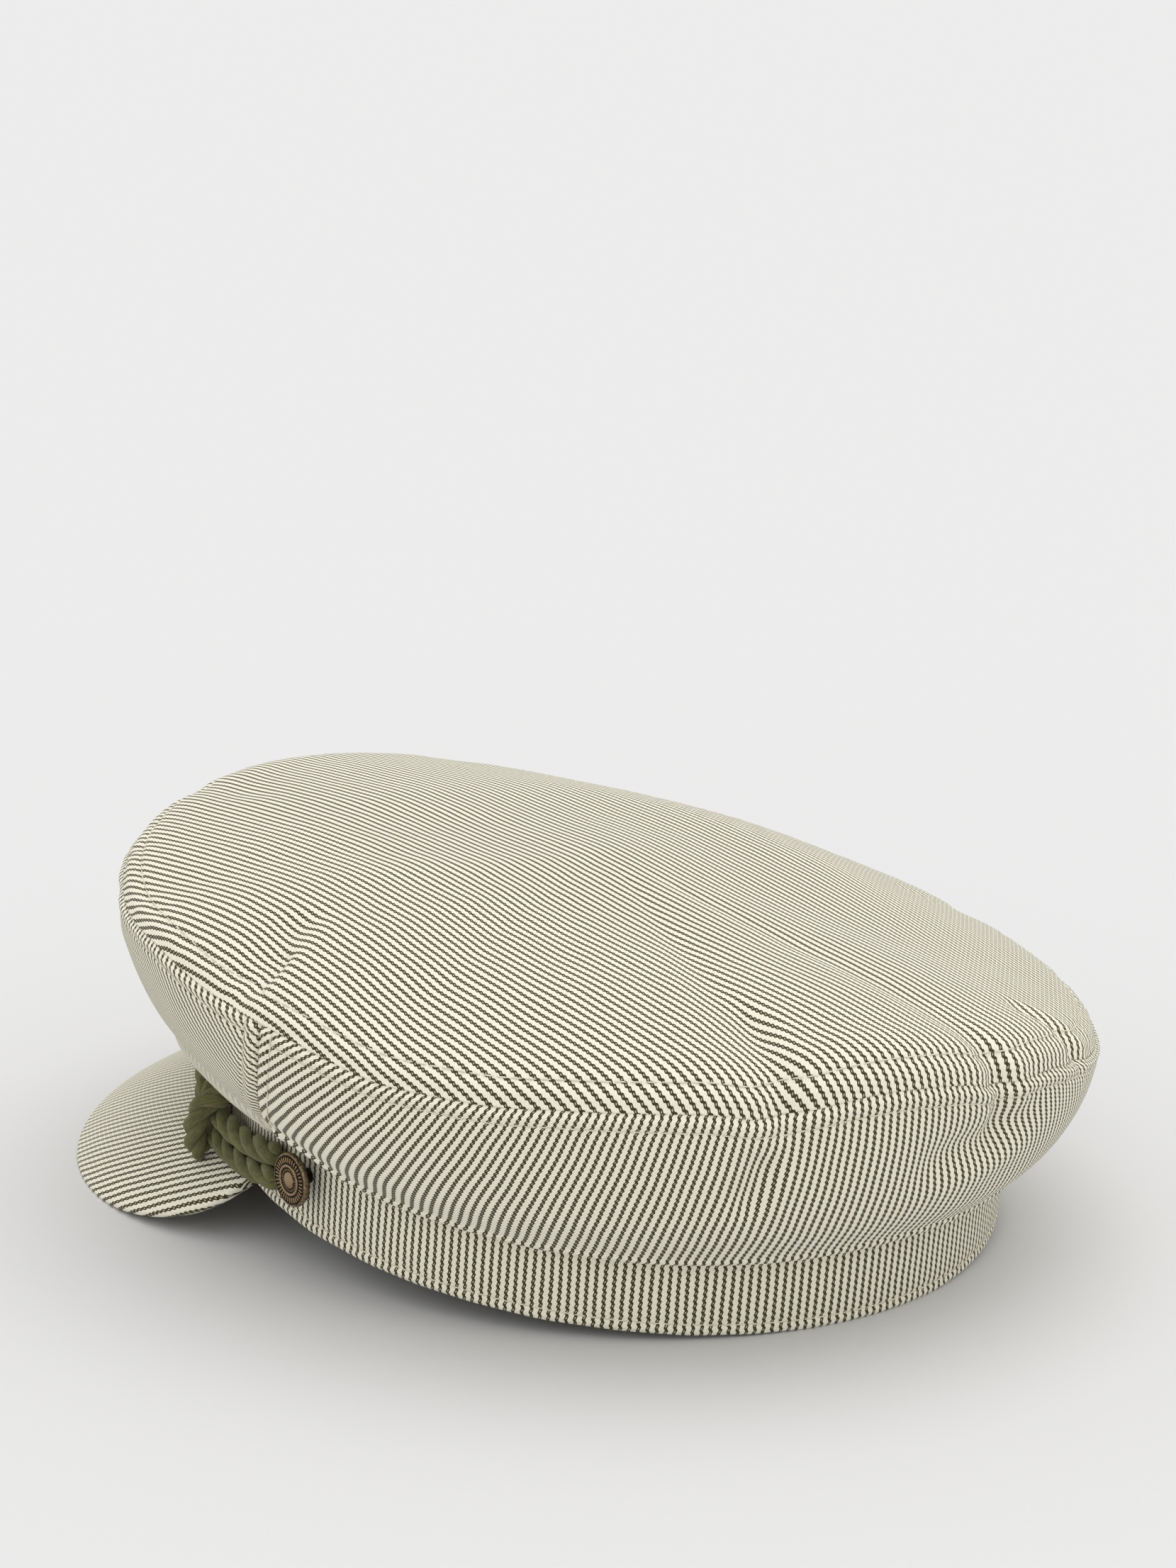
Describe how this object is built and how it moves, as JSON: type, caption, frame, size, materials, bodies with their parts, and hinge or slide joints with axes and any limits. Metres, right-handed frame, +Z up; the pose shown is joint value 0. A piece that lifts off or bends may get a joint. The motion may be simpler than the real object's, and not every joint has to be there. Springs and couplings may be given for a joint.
{
  "type": "breton fisherman cap",
  "caption": "Soft striped-cloth sailor cap with a wide flat crown, a headband, a short sloping visor, a twisted cord across the front and brass buttons.",
  "frame": {"origin": "middle of the cap's bounding box, on the surface it lies on", "axes": "+Z up, -Y the way the visor points, +X the wearer's left"},
  "size_m": [0.2204, 0.2784, 0.0902],
  "materials": {
    "cloth": "matt striped cotton twill, cream and olive brown",
    "cord": "matt twisted olive green cord",
    "brass": "antique brass, darkened in the hollows"
  },
  "bodies": {
    "root": {"crown_top": "cloth", "crown_front": "cloth", "crown_back": "cloth", "band": "cloth", "visor": "cloth", "rope_lower": "cord", "rope_upper": "cord", "knot_left": "cord", "knot_right": "cord", "button_left": "brass", "button_right": "brass"}
  },
  "joints": []
}
